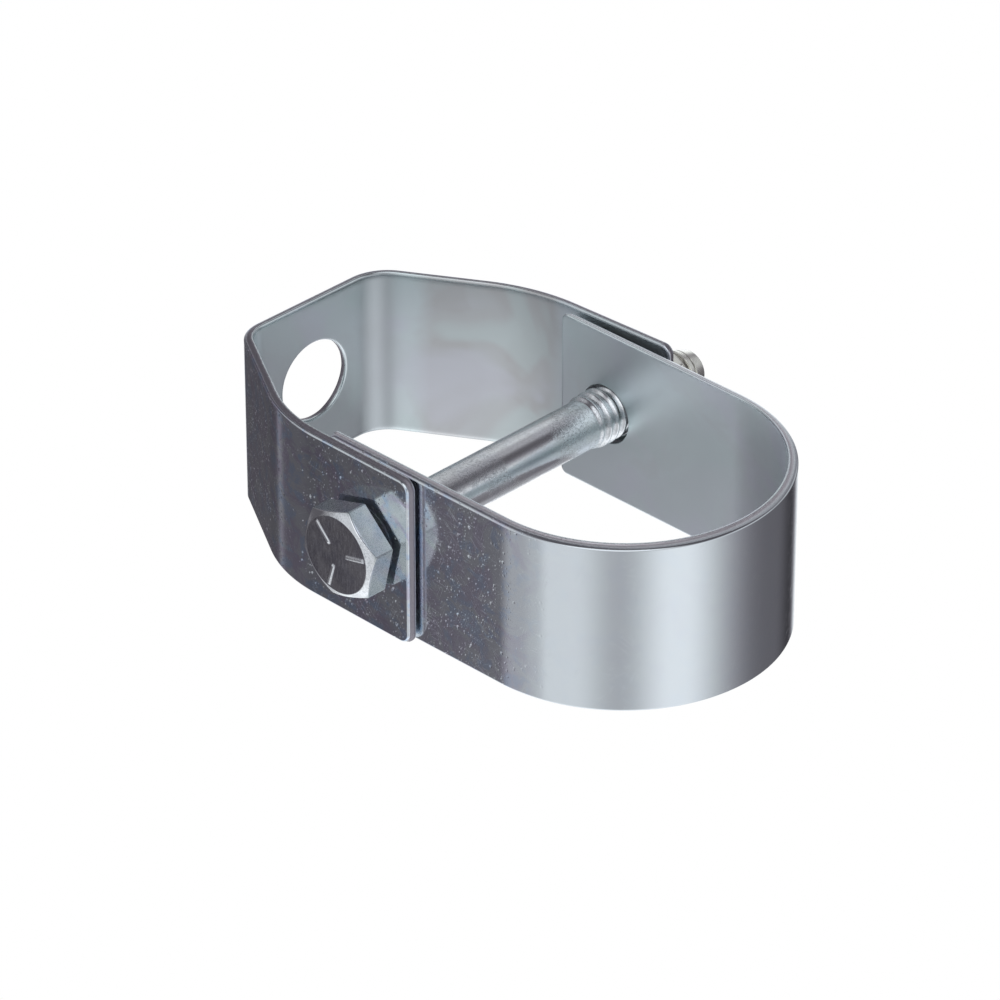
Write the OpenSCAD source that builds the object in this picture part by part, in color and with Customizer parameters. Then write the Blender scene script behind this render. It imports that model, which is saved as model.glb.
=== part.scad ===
// Clevis pipe hanger: a folded yoke that hangs from a rod, a lower strap that carries the pipe, and the cross bolt and nut that join them.
// Millimetres, drawn as it hangs. The origin is the centre of the rod hole on the yoke's top face. +Z is up along the rod, +X runs along the bolt towards its nut, and Y runs along the pipe.

/* [Sheet] */

// Width of both straps along the pipe
strap_width = 25.4; // [12:0.1:60]
// Thickness of the sheet that both straps are cut from
sheet = 1.45; // [1:0.05:4]
// Radius rolled over along the sheared edges
edge_roll = 0.2; // [0:0.05:0.6]
// Radius of the corners at the ends of the legs
leg_corner = 1.8; // [0.5:0.1:6]
// Radius of the corners at the ends of the ears
ear_corner = 1.1; // [0.5:0.1:6]

/* [Yoke] */

// Width of the flat top, between the sharp corners of its outer face
top_width = 25.2; // [16:0.1:60]
// Depth of the sloping shoulders below the top face
shoulder_drop = 20.2; // [8:0.1:60]
// Depth of the bolt's axis below the top face
bolt_depth = 36.1; // [20:0.1:100]
// Length of leg below the bolt's axis
leg_end = 9; // [6:0.1:30]
// Room between an ear and the leg beside it, with the lower strap centred
leg_room = 0.2; // [0.1:0.05:1]
// Lean of the leg at the bolt head, outwards from upright, in degrees
head_leg_lean = 0.8; // [0:0.1:6]
// Lean of the leg at the nut, outwards from upright, in degrees
nut_leg_lean = 3; // [0:0.1:6]
// Inner radius of the bend beside the flat top on the bolt head's side
head_top_bend = 4.3; // [1:0.1:12]
// Inner radius of the bend beside the flat top on the nut's side
nut_top_bend = 5.6; // [1:0.1:12]
// Inner radius of the bend between shoulder and leg on the bolt head's side
head_shoulder_bend = 22.3; // [1:0.1:40]
// Inner radius of the bend between shoulder and leg on the nut's side
nut_shoulder_bend = 26.6; // [1:0.1:40]
// Diameter of the rod hole
rod_hole = 12.5; // [6:0.1:25]

/* [Lower strap] */

// Outside diameter of the largest pipe it carries
pipe_diameter = 41.3; // [15:0.1:120]
// Radial room around that pipe
pipe_room = 1; // [0:0.05:3]
// Height of the bolt's axis above the top of the round seat's full circle
bolt_rise = 2.25; // [0:0.05:30]
// Length of ear above the bolt's axis
ear_end = 8.1; // [6:0.1:30]
// Where the strap stands between the legs, off centre towards the bolt head
strap_play = 0.2; // [0:0.05:0.5]

/* [Bolt] */

// Outside diameter of the thread
thread_diameter = 7.9; // [4:0.05:12]
// Diameter of the plain shank
shank_diameter = 7; // [4:0.05:12]
// Distance between thread crests
thread_pitch = 1.411; // [0.7:0.001:2.5]
// Length of the thread
thread_length = 23.2; // [10:0.1:60]
// Length of bolt past the nut
bolt_end = 5.9; // [2:0.1:30]
// Width of the head across its flats
head_flats = 12.3; // [8:0.1:20]
// Height of the head with its washer face
head_height = 4.05; // [2:0.05:10]
// Height of the washer face
washer_face = 0.4; // [0.1:0.05:1]
// Gap between the washer face and the leg
head_room = 0.65; // [0.05:0.05:2]
// Turn of the head about the bolt's axis, in degrees
head_turn = 16.8; // [0:0.1:60]
// Height of the raised grade lines on the head
grade_line = 0.15; // [0.05:0.05:0.4]
// Turn of the grade lines about the bolt's axis, in degrees
grade_turn = 106.5; // [0:0.1:120]
// Radial room around the thread in the holes of ears and legs
hole_room = 0.4; // [0.1:0.05:2]
// How far the bolt stands above the ear holes' centres and below the leg holes' centres
bolt_slack = 0.25; // [0:0.05:0.5]

/* [Nut] */

// Width across the flats
nut_flats = 12.5; // [8:0.1:20]
// Height along the bolt
nut_height = 6.75; // [3:0.05:14]
// Gap between the nut and the leg where the leg leans nearest
nut_room = 0.2; // [0.05:0.05:2]
// Turn of the nut about the bolt's axis, in degrees
nut_turn = 12; // [0:0.1:60]
// Radial clearance between the nut's bore and the thread
nut_clearance = 0.05; // [0.01:0.01:0.1]

/* [Hidden] */

$fn = 96;

// Straps
seat_radius = pipe_diameter / 2 + pipe_room;
shoulder_width = 2 * (seat_radius + 2 * sheet + leg_room);
yoke_depth = bolt_depth + leg_end;
leg_drop = yoke_depth - shoulder_drop;
ear_height = seat_radius + bolt_rise + ear_end;
bolt_z = -bolt_depth;
ear_z = bolt_z + ear_end;
bolt_hole = thread_diameter + 2 * hole_room;
through = shoulder_width + 20;
lap = 0.02; // the straight parts end this far inside the bends
bend_proud = 0.001; // and the bends stand proud of them by this much

// Places along the bolt's axis
washer_radius = head_flats / 2 - 0.35;
head_seat = -(shoulder_width / 2 + (bolt_depth - shoulder_drop + washer_radius) * tan(head_leg_lean) + head_room);
nut_seat = shoulder_width / 2 + (bolt_depth - shoulder_drop + nut_flats / sqrt(3)) * tan(nut_leg_lean) + nut_room;
bolt_length = nut_seat + nut_height + bolt_end - head_seat;

// Thread
thread_depth = 0.6134 * thread_pitch;
crest = thread_diameter / 2;
root = crest - thread_depth;
thread_start = bolt_length - thread_length;
point_length = 1.9 * thread_pitch;
point = 0.88 * root;
crest_flat = thread_pitch / 8;
root_flat = thread_pitch / 4;
flank = (thread_pitch - crest_flat - root_flat) / 2;
turns = floor((thread_length - point_length - 0.5 * thread_pitch) / thread_pitch);

// Outer face of the yoke in the X-Z plane, from the leg at the bolt head to the leg at the nut, with sharp corners
yoke_line = [
  [-shoulder_width / 2 - leg_drop * tan(head_leg_lean), -yoke_depth],
  [-shoulder_width / 2, -shoulder_drop],
  [-top_width / 2, 0],
  [top_width / 2, 0],
  [shoulder_width / 2, -shoulder_drop],
  [shoulder_width / 2 + leg_drop * tan(nut_leg_lean), -yoke_depth],
];
yoke_bends = [head_shoulder_bend, head_top_bend, nut_top_bend, nut_shoulder_bend];

// Heading of each straight part of a line, and how far each of its corners turns right
function heading(line, i) = atan2(line[i + 1][1] - line[i][1], line[i + 1][0] - line[i][0]);
function right_turn(line, i) = heading(line, i) - heading(line, i + 1);

// Length of outer face that a bend takes from each straight part beside it
function bend_take(line, bends, i) = (bends[i] + sheet) * tan(right_turn(line, i) / 2);

// Steps of a folded strap, each a straight length, then a right turn and its inner radius
function fold_steps(line, bends) = [
  for (i = [0 : len(line) - 2]) [
    norm(line[i + 1] - line[i])
      - (i > 0 ? bend_take(line, bends, i - 1) : 0)
      - (i < len(bends) ? bend_take(line, bends, i) : 0),
    i < len(bends) ? right_turn(line, i) : 0,
    i < len(bends) ? bends[i] : 0,
  ]
];

// Cross-section of a strap: thickness along X, width along Y, with rolled edges
module strap_section(proud = 0) {
  centres = [
    [sheet - edge_roll, strap_width / 2 - edge_roll, 0],
    [edge_roll, strap_width / 2 - edge_roll, 90],
    [edge_roll, -strap_width / 2 + edge_roll, 180],
    [sheet - edge_roll, -strap_width / 2 + edge_roll, 270],
  ];
  polygon([
    for (c = centres) for (a = [0, 30, 60, 90])
      [c[0] + (edge_roll + proud) * cos(c[2] + a), c[1] + (edge_roll + proud) * sin(c[2] + a)],
  ]);
}

// One straight part of a strap along +Y, with its inner face at X = 0 and its outer face at -X
module strap_flat(length) {
  translate([-sheet, -lap, 0]) rotate([-90, 0, 0]) linear_extrude(height = length + 2 * lap) strap_section();
}

// One bend of a strap that turns right from +Y
module strap_bend(angle, radius) {
  translate([radius, 0, 0]) rotate([0, 0, 180 - angle])
    rotate_extrude(angle = angle) translate([radius, 0]) strap_section(bend_proud);
}

// A whole strap, folded step by step
module folded_strap(steps, i = 0) {
  if (i < len(steps)) {
    strap_flat(steps[i][0]);
    translate([0, steps[i][0], 0]) {
      if (steps[i][1] > 0) {
        strap_bend(steps[i][1], steps[i][2]);
        translate([steps[i][2], 0, 0]) rotate([0, 0, -steps[i][1]])
          translate([-steps[i][2], 0, 0]) folded_strap(steps, i + 1);
      }
    }
  }
}

// Cutter that rounds the corners of ears or legs whose free end is at height z, facing up or down
module end_corners(z, facing, radius) {
  for (side = [-1, 1])
    translate([0, side * (strap_width / 2 - radius), z - facing * radius])
      difference() {
        translate([-through / 2, side > 0 ? 0 : -radius - 1, facing > 0 ? 0 : -radius - 1])
          cube([through, radius + 1, radius + 1]);
        rotate([0, 90, 0]) cylinder(r = radius, h = through + 2, center = true);
      }
}

// Cutter for a pair of bolt holes at height z
module bolt_holes(z) {
  translate([0, 0, z]) rotate([0, 90, 0]) cylinder(d = bolt_hole, h = through, center = true);
}

module upper_yoke() {
  color([0.66, 0.68, 0.72]) difference() {
    turn = 90 - heading(yoke_line, 0);
    translate([yoke_line[0][0], 0, yoke_line[0][1]]) rotate([90, 0, 0]) rotate([0, 0, -turn])
      translate([sheet, 0, 0]) folded_strap(fold_steps(yoke_line, yoke_bends));
    translate([0, 0, -sheet - 1]) cylinder(d = rod_hole, h = sheet + 2);
    bolt_holes(bolt_z + bolt_slack);
    end_corners(-yoke_depth, -1, leg_corner);
  }
}

module lower_strap() {
  color([0.74, 0.76, 0.79]) difference() {
    translate([seat_radius - strap_play, 0, ear_z]) rotate([90, 0, 0]) rotate([0, 0, 180])
      folded_strap([[ear_height, 180, seat_radius], [ear_height, 0, 0]]);
    bolt_holes(bolt_z - bolt_slack);
    end_corners(ear_z, 1, ear_corner);
  }
}

// Six-sided body along +Z, standing on Z = 0, with its corners turned down at one end or both
module hex_body(flats, height, both_ends) {
  face = 0.463 * flats;
  corner = flats / sqrt(3);
  fall = (corner - face) * tan(30);
  intersection() {
    cylinder(r = corner, h = height, $fn = 6);
    rotate_extrude() polygon([
      [0, 0],
      [both_ends ? face : corner + 1, 0],
      [both_ends ? corner : corner + 1, both_ends ? fall : 0.5 * fall],
      [corner, height - fall],
      [face, height],
      [0, height],
    ]);
  }
}

// Shank and thread along +Z from the head, with the thread drawn as rings
module threaded_shank() {
  rotate_extrude() polygon(concat(
    [[0, 0], [shank_diameter / 2, 0], [shank_diameter / 2, thread_start - 0.3 * thread_pitch], [root, thread_start]],
    [for (i = [0 : turns - 1]) each [
      [root, thread_start + i * thread_pitch + root_flat],
      [crest, thread_start + i * thread_pitch + root_flat + flank],
      [crest, thread_start + i * thread_pitch + root_flat + flank + crest_flat],
      [root, thread_start + (i + 1) * thread_pitch],
    ]],
    [
      [root, thread_start + turns * thread_pitch + root_flat],
      [crest - 0.35 * thread_depth, bolt_length - point_length],
      [point, bolt_length],
      [0, bolt_length],
    ]
  ));
}

module cross_bolt() {
  color([0.83, 0.84, 0.86]) translate([head_seat, 0, bolt_z]) rotate([0, 90, 0]) {
    threaded_shank();
    translate([0, 0, -washer_face]) cylinder(r = washer_radius, h = washer_face);
    translate([0, 0, -washer_face]) rotate([180, 0, 0]) rotate([0, 0, head_turn])
      hex_body(head_flats, head_height - washer_face, false);
    for (i = [0 : 2]) rotate([0, 0, grade_turn + 120 * i])
      translate([0.15 * head_flats, -0.25, -head_height - grade_line]) cube([0.28 * head_flats, 0.5, 2 * grade_line]);
  }
}

module hex_nut() {
  bore = thread_diameter / 2 + nut_clearance;
  color([0.8, 0.79, 0.74]) translate([nut_seat, 0, bolt_z]) rotate([0, 90, 0]) difference() {
    rotate([0, 0, nut_turn]) hex_body(nut_flats, nut_height, true);
    rotate_extrude() polygon([
      [0, -1], [bore + 1.3, -1], [bore + 0.3, 0], [bore, 0.3],
      [bore, nut_height - 0.3], [bore + 0.3, nut_height], [bore + 1.3, nut_height + 1], [0, nut_height + 1],
    ]);
  }
}

upper_yoke();
lower_strap();
cross_bolt();
hex_nut();
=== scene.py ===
"""Looks of a clevis pipe hanger, all zinc plated.

A folded yoke hangs from a rod, a round strap carries the pipe, and a cross bolt with its nut joins the two.
"""

from __future__ import annotations

import logging
import math
from dataclasses import dataclass, field
from enum import Enum

import bpy
import numpy as np
from mathutils import Matrix


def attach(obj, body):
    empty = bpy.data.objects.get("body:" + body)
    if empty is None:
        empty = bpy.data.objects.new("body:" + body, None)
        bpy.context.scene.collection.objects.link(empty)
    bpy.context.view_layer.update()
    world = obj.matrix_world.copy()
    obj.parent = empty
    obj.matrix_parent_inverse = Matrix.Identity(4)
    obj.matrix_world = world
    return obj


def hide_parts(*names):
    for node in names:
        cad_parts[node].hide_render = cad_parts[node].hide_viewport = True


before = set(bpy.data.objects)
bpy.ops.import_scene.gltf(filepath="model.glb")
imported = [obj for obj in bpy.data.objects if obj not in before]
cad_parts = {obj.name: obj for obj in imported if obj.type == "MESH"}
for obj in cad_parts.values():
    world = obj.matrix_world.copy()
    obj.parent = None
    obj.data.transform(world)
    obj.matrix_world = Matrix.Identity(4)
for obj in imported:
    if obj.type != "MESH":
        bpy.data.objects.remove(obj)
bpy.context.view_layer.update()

LOG = logging.getLogger("clevis_hanger")
MM = 0.001
WELD_STEP = 1e-4  # millimetres, points closer than this are one
UV_SPAN = 100.0  # millimetres of strap for one unit of its UV map
GIRTH_RADIUS = 4.0  # millimetres, radius at which the map of a bolt or nut is as wide as its surface
OFF_STRAP = 900.0  # millimetres along a strap, past its end, for a feature that this strap doesn't have

# Axes of the hanger as it lies in the photograph, in the frame in which it hangs
TOWARDS_SEAT = np.array([0.0, 0.0, -1.0])
ALONG_BOLT = np.array([1.0, 0.0, 0.0])
UPWARDS = np.array([0.0, -1.0, 0.0])


class Body(str, Enum):
    """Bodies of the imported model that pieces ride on."""

    YOKE = "yoke"
    STRAP = "strap"
    BOLT = "bolt"
    NUT = "nut"


class Node(str, Enum):
    """CAD nodes that the pieces stand for."""

    YOKE = "upper_yoke"
    STRAP = "lower_strap"
    BOLT = "cross_bolt"
    NUT = "hex_nut"


class Slot(str, Enum):
    """Material slots of the record."""

    YOKE = "yoke_plate"
    STRAP = "strap_plate"
    BOLT = "bolt_plate"
    NUT = "nut_plate"


# Meshes


def link(name: str, data: bpy.types.ID) -> bpy.types.Object:
    """Returns a new object with this data, linked to the scene."""
    thing = bpy.data.objects.new(name, data)
    bpy.context.scene.collection.objects.link(thing)
    return thing


@dataclass(frozen=True)
class Patch:
    """A surface computed on a grid of two parameters.

    points has rows, columns and 3 coordinates in millimetres. For each point uv has 2 values, rim and outer 1.
    """

    points: np.ndarray
    uv: np.ndarray
    rim: np.ndarray
    outer: np.ndarray
    flip: bool = False

    def corners(self) -> np.ndarray:
        """Numbers the corners of each cell, turned so that the face points outwards.

        Returns:
            Cells and 4 numbers.
        """
        rows, columns = self.points.shape[:2]
        index = np.arange(rows * columns).reshape(rows, columns)
        cells = np.stack([index[:-1, :-1], index[1:, :-1], index[1:, 1:], index[:-1, 1:]], -1).reshape(-1, 4)
        return cells[:, ::-1] if self.flip else cells


def grid_patch(points: np.ndarray, uv: np.ndarray, rim: float | np.ndarray = 0.0,
               outer: float | np.ndarray = 1.0, flip: bool = False) -> Patch:
    """Makes a patch whose marks may be one number or an array.

    Args:
        points: Rows, columns and 3 coordinates in millimetres.
        uv: Rows, columns and 2 values.
        rim: 1 on a sheared edge and on the plain face of the bolt's head, 0 elsewhere.
        outer: 1 on the outer side, 0 on the inner side.
        flip: Whether the cells are turned over.

    Returns:
        The patch.
    """
    shape = points.shape[:2]
    return Patch(points, uv, np.broadcast_to(rim, shape), np.broadcast_to(outer, shape), flip)


class Shell:
    """A closed mesh welded from patches."""

    def __init__(self, patches: list[Patch]) -> None:
        """Welds the patches.

        Points that fall on each other become one, and a cell that has lost a side becomes a triangle.

        Args:
            patches: Surfaces that together close the shape.
        """
        offsets = np.cumsum([0] + [p.points.shape[0] * p.points.shape[1] for p in patches[:-1]])
        raw = np.concatenate([p.points.reshape(-1, 3) for p in patches])
        self.uv = np.concatenate([p.uv.reshape(-1, 2) for p in patches])
        self.cells = np.concatenate([p.corners() + o for p, o in zip(patches, offsets)])
        _, first, place = np.unique(np.round(raw / WELD_STEP).astype(np.int64), axis=0, return_index=True,
                                    return_inverse=True)
        place = place.reshape(-1)
        self.points = raw[first]
        self.rim = np.concatenate([p.rim.reshape(-1) for p in patches])[first]
        self.outer = np.concatenate([p.outer.reshape(-1) for p in patches])[first]
        self.quads, self.triangles = self._split(place)

    def _split(self, place: np.ndarray) -> tuple[tuple[np.ndarray, np.ndarray], tuple[np.ndarray, np.ndarray]]:
        """Sorts the cells into whole quads and triangles, and drops those that have closed up.

        Args:
            place: Number of the welded point for each point of the patches.

        Returns:
            Corners and raw corners of the quads, and the same of the triangles.
        """
        welded = place[self.cells]
        same = welded == np.roll(welded, -1, axis=1)
        lost = same.sum(1)
        crossed = (welded[:, 0] == welded[:, 2]) | (welded[:, 1] == welded[:, 3])
        whole = (lost == 0) & ~crossed
        short = (lost == 1) & ~crossed
        gone = np.argmax(same[short], axis=1)
        keep = np.stack([(gone + k) % 4 for k in (1, 2, 3)], -1)
        raw = self.cells[short]
        triangles = np.take_along_axis(welded[short], keep, 1)
        return (welded[whole], self.cells[whole]), (triangles, np.take_along_axis(raw, keep, 1))

    def _normals(self) -> np.ndarray:
        """Sums the normals of the faces round each point, weighed by the squares of their areas.

        Returns:
            A normal for each point.
        """
        quads, triangles = self.quads[0], self.triangles[0]
        p = self.points
        across = np.cross(p[quads[:, 2]] - p[quads[:, 0]], p[quads[:, 3]] - p[quads[:, 1]])
        flat = np.cross(p[triangles[:, 1]] - p[triangles[:, 0]], p[triangles[:, 2]] - p[triangles[:, 0]])
        total = np.zeros_like(p)
        for faces, vector in ((quads, across), (triangles, flat)):
            weighed = vector * np.linalg.norm(vector, axis=1, keepdims=True)
            for k in range(faces.shape[1]):
                for axis in range(3):
                    total[:, axis] += np.bincount(faces[:, k], weighed[:, axis], len(p))
        return total / np.maximum(np.linalg.norm(total, axis=1, keepdims=True), 1e-12)

    def to_object(self, name: str) -> bpy.types.Object:
        """Writes the shell into a Blender object.

        Args:
            name: Name of the piece.

        Returns:
            The object, at the origin, with its place in its mesh.
        """
        mesh = bpy.data.meshes.new(name)
        (quads, raw_quads), (triangles, raw_triangles) = self.quads, self.triangles
        loops = np.concatenate([quads.ravel(), triangles.ravel()])
        starts = np.concatenate([np.arange(len(quads)) * 4, quads.size + np.arange(len(triangles)) * 3])
        mesh.vertices.add(len(self.points))
        mesh.vertices.foreach_set("co", (self.points * MM).astype(np.float32).ravel())
        mesh.loops.add(len(loops))
        mesh.loops.foreach_set("vertex_index", loops.astype(np.int32))
        mesh.polygons.add(len(starts))
        mesh.polygons.foreach_set("loop_start", starts.astype(np.int32))
        mesh.update(calc_edges=True)
        mesh.polygons.foreach_set("use_smooth", np.ones(len(starts), bool))
        strip = mesh.uv_layers.new(name="strip")
        corners = np.concatenate([raw_quads.ravel(), raw_triangles.ravel()])
        strip.data.foreach_set("uv", self.uv[corners].astype(np.float32).ravel())
        for mark, values in (("rim", self.rim), ("outer", self.outer)):
            mesh.attributes.new(mark, "FLOAT", "POINT").data.foreach_set("value", values.astype(np.float32))
        mesh.normals_split_custom_set_from_vertices(self._normals().tolist())
        return link(name, mesh)


def spread(stops: np.ndarray, step: float) -> np.ndarray:
    """Fills the gaps between stops evenly, so that no gap is longer than a step.

    Args:
        stops: Stations that have to be kept.
        step: Longest gap.

    Returns:
        Sorted stations.
    """
    kept = np.unique(np.round(stops, 6))
    parts = [np.linspace(a, b, max(1, math.ceil((b - a) / step - 1e-6)), endpoint=False)
             for a, b in zip(kept[:-1], kept[1:])]
    return np.concatenate(parts + [kept[-1:]])


# Straps


@dataclass(frozen=True)
class FoldedPath:
    """Middle line of a folded strap in the X-Z plane: straight parts joined by bends that turn right."""

    start: tuple[float, float]
    heading: float
    straights: tuple[float, ...]
    turns: tuple[float, ...]
    radii: tuple[float, ...]

    @classmethod
    def round_corners(cls, line: np.ndarray, inner_radii: tuple[float, ...], sheet: float) -> "FoldedPath":
        """Rounds a line of sharp corners.

        A bend takes its outer radius times the tangent of half its turn from each straight part beside it.

        Args:
            line: Sharp corners of the outer face, in millimetres.
            inner_radii: Inner radius of each bend.
            sheet: Thickness of the sheet.

        Returns:
            The path of the middle line.
        """
        legs = np.diff(line, axis=0)
        headings = np.arctan2(legs[:, 1], legs[:, 0])
        turns = headings[:-1] - headings[1:]
        takes = (np.array(inner_radii) + sheet) * np.tan(turns / 2)
        lengths = np.hypot(legs[:, 0], legs[:, 1])
        lengths[1:] -= takes
        lengths[:-1] -= takes
        out = np.array([-math.sin(headings[0]), math.cos(headings[0])])
        start = line[0] - out * sheet / 2
        middle = tuple(r + sheet / 2 for r in inner_radii)
        return cls((start[0], start[1]), headings[0], tuple(lengths), tuple(turns), middle)

    def breaks(self) -> np.ndarray:
        """Returns the stations at which straight parts and bends meet, with both ends."""
        arcs = [t * r for t, r in zip(self.turns, self.radii)] + [0.0]
        return np.cumsum([0.0] + [x for pair in zip(self.straights, arcs) for x in pair][:-1])

    def bend_stations(self, step: float) -> np.ndarray:
        """Returns stations along the bends, a step of turn apart or less.

        Args:
            step: Turn between stations, in radians.

        Returns:
            The stations.
        """
        breaks = self.breaks()
        return np.concatenate([np.linspace(breaks[2 * i + 1], breaks[2 * i + 2], math.ceil(t / step) + 1)
                               for i, t in enumerate(self.turns)])

    def place(self, station: np.ndarray) -> tuple[np.ndarray, np.ndarray]:
        """Finds points of the middle line.

        Within a bend the point runs on a circle: it moves by the change of the sine and of the cosine of the
        heading, over the curvature. On a straight part it moves along the heading.

        Args:
            station: Length along the line.

        Returns:
            Points, and outward normals, both as X and Z in the last axis.
        """
        breaks = self.breaks()
        curves = np.zeros(len(breaks) - 1)
        curves[1::2] = -1.0 / np.array(self.radii)
        spans = np.diff(breaks)
        headings = self.heading + np.concatenate([[0.0], np.cumsum(curves * spans)])
        middle = headings[:-1] + curves * spans / 2
        curved = np.where(curves == 0, 1, curves)
        chords = np.where(curves == 0, spans, 2 * np.sin(curves * spans / 2) / curved)
        steps = np.stack([chords * np.cos(middle), chords * np.sin(middle)], -1)
        knots = np.array(self.start) + np.concatenate([[[0.0, 0.0]], np.cumsum(steps, axis=0)])
        part = np.clip(np.searchsorted(breaks, station, side="right") - 1, 0, len(spans) - 1)
        run = station - breaks[part]
        bent = curves[part] * run
        half = headings[part] + bent / 2
        chord = np.where(bent == 0, run, 2 * np.sin(bent / 2) / curved[part])
        points = knots[part] + np.stack([chord * np.cos(half), chord * np.sin(half)], -1)
        now = headings[part] + bent
        return points, np.stack([-np.sin(now), np.cos(now)], -1)


@dataclass(frozen=True)
class SheetEdge:
    """Section of a sheared edge, in millimetres and radians.

    The inner face rolls over into the wall. Past its smooth part the wall is torn and stands back towards the
    outer face.
    """

    margin: float = 0.7
    outer_reach: float = 0.30
    outer_drop: float = 0.45
    inner_reach: float = 0.7
    inner_drop: float = 0.22
    torn_share: float = 0.55
    set_back: float = 0.24
    wall_turn: float = 1.1
    wall_fade: float = 0.4
    roll_fade: float = 0.5

    def outer_side(self, sheet: float) -> tuple[np.ndarray, np.ndarray, np.ndarray]:
        """Walks from the outer face over the small outer round and down the wall to the inner roll.

        Args:
            sheet: Thickness of the sheet.

        Returns:
            Way outwards from the flat face, height above the sheet's middle, and how much each point is wall.
        """
        turn = np.linspace(0, math.pi / 2, 9)
        face = np.linspace(0, self.margin - self.set_back - self.outer_reach, 3)[:-1]
        round_push = self.margin - self.set_back - self.outer_reach * (1 - np.sin(turn))
        round_height = sheet / 2 - self.outer_drop * (1 - np.cos(turn))
        high, low = sheet / 2 - self.outer_drop, self.inner_drop - sheet / 2
        bend = high - (high - low) * self.torn_share
        push = np.concatenate([face, round_push, np.linspace(self.margin - self.set_back, self.margin, 5)[1:],
                               np.full(3, self.margin)])
        height = np.concatenate([np.full(2, sheet / 2), round_height, np.linspace(high, bend, 5)[1:],
                                 np.linspace(bend, low, 4)[1:]])
        wall = np.concatenate([np.zeros(2), np.clip((turn - self.wall_turn) / self.wall_fade, 0, 1), np.ones(7)])
        return push, height, wall

    def inner_side(self, sheet: float) -> tuple[np.ndarray, np.ndarray, np.ndarray]:
        """Walks from the wall over the inner roll, a quarter of an ellipse, to the inner face.

        Args:
            sheet: Thickness of the sheet.

        Returns:
            The same as for the outer side.
        """
        turn = np.append(np.linspace(0, math.pi / 2, 9), math.pi / 2)
        push = self.margin - self.inner_reach * (1 - np.cos(turn))
        push[-1] = 0.0
        height = self.inner_drop * (1 - np.sin(turn)) - sheet / 2
        return push, height, np.clip(1 - turn / self.roll_fade, 0, 1)


Outline = tuple[np.ndarray, np.ndarray, np.ndarray, np.ndarray]


@dataclass(frozen=True)
class Hole:
    """A punched hole on the middle of a strap."""

    station: float
    radius: float
    edge: SheetEdge = SheetEdge(margin=0.2, outer_reach=0.1, outer_drop=0.08, inner_reach=0.12,
                                inner_drop=0.08, set_back=0.04)


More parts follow.
